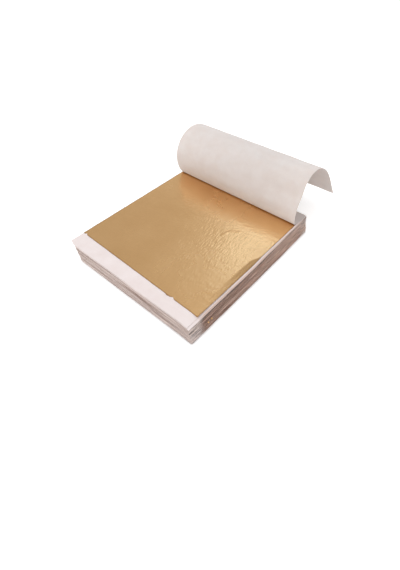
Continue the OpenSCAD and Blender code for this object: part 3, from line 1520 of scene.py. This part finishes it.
    def bend(self, piece: Object, near: str, far: str, start: float, end: float) -> None:
        """Bakes a part's placement into its mesh."""
        ends = self.profile.at(np.array([start, end]))[0] * MM
        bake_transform(piece)


# The binding


@dataclass
class GlueFilms:
    """Padding glue over the bound edges, parted between the sheaves where it bends."""

    columns: int = 90
    rows: int = 10
    uneven: float = 0.05
    thinner: float = 2.0
    ragged: float = 0.25
    ragged_reach: float = 2.0

    def build(self, glue: Material) -> None:
        """Makes the film of each sheaf, thicker and thinner from place to place."""
        for node in sorted(n for n in frame["nodes"] if n.startswith("spine_glue")):
            corners = points_of(frame["nodes"][node].data)
            low, high = corners.min(0), corners.max(0)
            foot = corners[corners[:, 2] < low[2] + TOLERANCE_MM]
            head = corners[corners[:, 2] > high[2] - TOLERANCE_MM]
            x, z = np.meshgrid(
                np.linspace(low[0], high[0], self.columns + 1),
                np.linspace(low[2], high[2], self.rows + 1), indexing="ij",
            )
            share = (z - low[2]) / (high[2] - low[2])
            inner = foot[:, 1].min() + (head[:, 1].min() - foot[:, 1].min()) * share
            thick = foot[:, 1].max() - foot[:, 1].min()
            lumps = waves(61, 7)(x + 3 * z) + waves(62, 3)(x - 2 * z) + waves(63, 1.3)(z)
            outer = inner + thick + self.uneven * (lumps - self.thinner)
            end = np.minimum(x - low[0], high[0] - x)
            tip = np.clip(1 - end / self.ragged_reach, 0, 1) * np.where(x > 0, -1, 1)
            worn = x + tip * self.ragged * (1 + waves(64, 2)(z))
            upper = np.stack([worn, outer, z], -1)
            lower = np.stack([worn, inner, z], -1)
            mesh = closed_sheet(node.replace("spine_glue", "glue_film"), lower, upper)
            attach(add_piece(mesh, Slot.GLUE, [glue], node), frame["nodes"][node]["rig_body"])


@dataclass
class BackingSheet:
    """The card under the pages, which stands proud at one corner and lifts a little at its rim."""

    shape: PackShape
    cells: int = 48

    def build(self, card: Material) -> None:
        """Makes the sheet between the corners of its node.

        Args:
            card: the finish of the sheet.
        """
        points = points_of(frame["nodes"]["backing"].data)
        corners = {
            (i, j): points[(points[:, 0] * (2 * i - 1) + points[:, 1] * (2 * j - 1)).argmax(), :2]
            for i in (0, 1) for j in (0, 1)
        }
        steps = 0.5 - 0.5 * np.cos(np.linspace(0, math.pi, self.cells + 1))
        a, b = (v[..., None] for v in np.meshgrid(steps, steps, indexing="ij"))
        plan = (
            (1 - a) * (1 - b) * corners[0, 0] + a * (1 - b) * corners[1, 0]
            + (1 - a) * b * corners[0, 1] + a * b * corners[1, 1]
        )
        faces = []
        for height in (points[:, 2].max(), points[:, 2].min()):
            z = self.shape.pressed(plan[..., 0], plan[..., 1], np.full(plan.shape[:2], height))
            faces.append(np.dstack([plan, z]))
        piece = add_piece(closed_sheet("backing_sheet", *faces), Slot.BACKING, [card], "backing")
        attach(piece, "lower_sheaf")


# The studio


@dataclass
class Lamp:
    """A soft square lamp that looks at the booklet."""

    name: str
    azimuth: float
    elevation: float
    distance: float
    size: float
    power: float
    tint: str = "ffffff"

    def build(self, aim: Vector) -> None:
        """Puts the lamp up.

        Args:
            aim: the place that it looks at.
        """
        away = direction(self.azimuth, self.elevation)
        data = bpy.data.lights.new(self.name, "AREA")
        data.shape = "SQUARE"
        data.size = self.size
        data.energy = self.power
        data.color = linear(self.tint)[:3]
        lamp = add_object(self.name, data)
        lamp.location = aim + away * self.distance
        lamp.rotation_mode = "QUATERNION"
        lamp.rotation_quaternion = (-away).to_track_quat("-Z", "Y")


@dataclass
class Studio:
    """White sweep, soft lamps and the camera of the photograph. Lengths are in millimetres."""

    azimuth: float = 44.763
    elevation: float = 41.647
    roll: float = -3.693
    distance: float = 219.571
    aim_x: float = -4.092
    aim_y: float = 11.352
    focal_px: float = 373.72
    axis_px: tuple[float, float] = (203.0, 230.0)
    floor_size: float = 6000.0
    floor_white: float = 0.5
    floor_tone: str = "f4f4f4"
    contact_shade_mm: float = 1.3
    sky: float = 0.81
    mirrored_up: Ramp = Ramp(0.25, 0.5, 1.0, 0.6)
    mirrored_right: Ramp = Ramp(-0.28, 0.05, 1.0, 0.55)
    mirrored_lean: tuple[float, float, float] = (0.3, 0.25, 0.0)
    mirrored_even: float = 1.04
    lamp_aim_z: float = 10.0
    clip: tuple[float, float] = (0.01, 20.0)
    lamps: tuple[Lamp, ...] = (
        Lamp("overhead_softbox", -20, 76, 0.9, 0.7, 1.7),
        Lamp("front_fill", 5, 14, 0.9, 0.6, 1.1),
        Lamp("window", -150.5, 47, 0.8, 0.18, 0.145, "b4d6ff"),
    )

    def build(self) -> None:
        """Sets up camera, lamps, world and floor."""
        self.camera()
        for lamp in self.lamps:
            lamp.build(Vector((0, 0, self.lamp_aim_z * MM)))
        self.world()
        self.floor()
        bpy.context.scene.view_settings.view_transform = "Standard"

    def camera(self) -> None:
        """Stands the camera where the photograph was taken from."""
        back = direction(self.azimuth, self.elevation)
        roll = math.radians(self.roll)
        right = (-back).cross(Vector((0, 0, 1))).normalized()
        up = back.cross(right)
        tilted_right = right * math.cos(roll) + up * math.sin(roll)
        tilted_up = up * math.cos(roll) - right * math.sin(roll)
        data = bpy.data.cameras.new("camera")
        long_side = max(IMAGE_WIDTH, IMAGE_HEIGHT)
        data.sensor_fit = "AUTO"
        data.lens = self.focal_px / long_side * data.sensor_width
        data.shift_x = (IMAGE_WIDTH / 2 - self.axis_px[0]) / long_side
        data.shift_y = (self.axis_px[1] - IMAGE_HEIGHT / 2) / long_side
        data.clip_start, data.clip_end = self.clip
        camera = add_object("camera", data)
        place = Vector((self.aim_x, self.aim_y, 0)) * MM + back * self.distance * MM
        axes = Matrix((tilted_right, tilted_up, back)).transposed()
        camera.matrix_world = Matrix.Translation(place) @ axes.to_4x4()
        bpy.context.scene.camera = camera

    def world(self) -> None:
        """Lights the room evenly; the white sweep shows to the camera and, low down, in the metal."""
        world = bpy.data.worlds.new("studio")
        bpy.context.scene.world = world
        tree = cleared_tree(world)
        way = add_node(tree, "ShaderNodeTexCoord").outputs["Generated"]
        axes = add_node(tree, "ShaderNodeSeparateXYZ", {"Vector": way}).outputs
        lean = add_node(
            tree, "ShaderNodeVectorMath", {0: way, 1: self.mirrored_lean}, operation="DOT_PRODUCT"
        )
        even = {0: lean.outputs["Value"], 1: self.mirrored_even}
        leaned = add_node(tree, "ShaderNodeMath", even, operation="ADD").outputs[0]
        mirrored, shaded = (
            add_node(tree, "ShaderNodeMapRange", ramp.over(axis)).outputs[0]
            for ramp, axis in ((self.mirrored_up, axes["Z"]), (self.mirrored_right, axes["X"]))
        )
        for share in (leaned, shaded):
            product = add_node(tree, "ShaderNodeMath", {0: mirrored, 1: share}, operation="MULTIPLY")
            mirrored = product.outputs[0]
        rays = add_node(tree, "ShaderNodeLightPath").outputs
        kinds = {0: rays["Is Glossy Ray"], 1: rays["Is Transmission Ray"]}
        shiny = add_node(tree, "ShaderNodeMath", kinds, operation="ADD")
        seen = add_node(tree, "ShaderNodeMix", {0: shiny.outputs[0], 2: self.sky, 3: mirrored})
        strength = add_node(tree, "ShaderNodeMix", {0: rays["Is Camera Ray"], 2: seen.outputs[0], 3: 1.0})
        light = add_node(
            tree, "ShaderNodeBackground", {"Color": (1, 1, 1, 1), "Strength": strength.outputs[0]}
        )
        add_node(tree, "ShaderNodeOutputWorld", {"Surface": light.outputs[0]})

    def floor(self) -> None:
        """Lays the white floor, which shows white to the camera and keeps the booklet's shadow; ambient
        occlusion dims its glow near the booklet as a painted contact shadow.
        """
        half = self.floor_size / 2 * MM
        mesh = bpy.data.meshes.new("floor")
        corners = [(-half, -half, 0), (half, -half, 0), (half, half, 0), (-half, half, 0)]
        mesh.from_pydata(corners, [], [(0, 1, 2, 3)])
        add_object("floor", mesh)
        material = bpy.data.materials.new("matt_white_sweep")
        tree = cleared_tree(material)
        rays = add_node(tree, "ShaderNodeLightPath").outputs
        shown = rays["Is Camera Ray"]
        for kind in ("Is Glossy Ray", "Is Transmission Ray"):
            shown = add_node(tree, "ShaderNodeMath", {0: shown, 1: rays[kind]}, operation="ADD").outputs[0]
        matt = add_node(tree, "ShaderNodeBsdfDiffuse", {"Color": linear(self.floor_tone)})
        # painted contact shadow: ambient occlusion dims the glow next to the booklet
        open_sky = add_node(tree, "ShaderNodeAmbientOcclusion", {"Distance": self.contact_shade_mm * MM}, samples=8)
        white = add_node(
            tree, "ShaderNodeMath", {0: open_sky.outputs["AO"], 1: self.floor_white}, operation="MULTIPLY"
        )
        glow = add_node(tree, "ShaderNodeEmission", {"Strength": white.outputs[0]})
        both = add_node(tree, "ShaderNodeAddShader", {0: matt.outputs[0], 1: glow.outputs[0]})
        mixed = add_node(
            tree, "ShaderNodeMixShader", {0: shown, 1: matt.outputs[0], 2: both.outputs[0]}
        )
        add_node(tree, "ShaderNodeOutputMaterial", {"Surface": mixed.outputs[0]})
        mesh.materials.append(material)


def main() -> None:
    """Builds the studio and every piece of the booklet."""
    logging.basicConfig(level=logging.INFO, format="%(name)s: %(message)s")
    Studio().build()
    paper = TissuePaper("tissue_paper").build()
    smeared = SmearedEdges("tissue_edges_with_metal").build()
    cut = CutEdges("tissue_cut_edges").build()
    metal = MetalLeaf("champagne_metal_leaf").build()
    shape = PackShape()
    Gatherings(shape).build(paper, smeared, cut, metal)
    OpenLeaf(shape).build(metal)
    for crumb in (LeafCrumb("leaf_crumb_1", -34.0, 4.75), LeafCrumb("leaf_crumb_2", -36.4, 4.6, 0.7, 0.8)):
        crumb.build(shape, metal)
    turned = TurnedPaper("turned_tissue_paper").build()
    bound = TurnedPaper("bound_tissue_paper", through=0.0).build()
    TurnedTissue(RollProfile()).build(turned, bound)
    GlueFilms().build(PaddingGlue("padding_glue").build())
    BackingSheet(shape).build(BackingCard("backing_card").build())


if __name__ == "__main__":
    main()
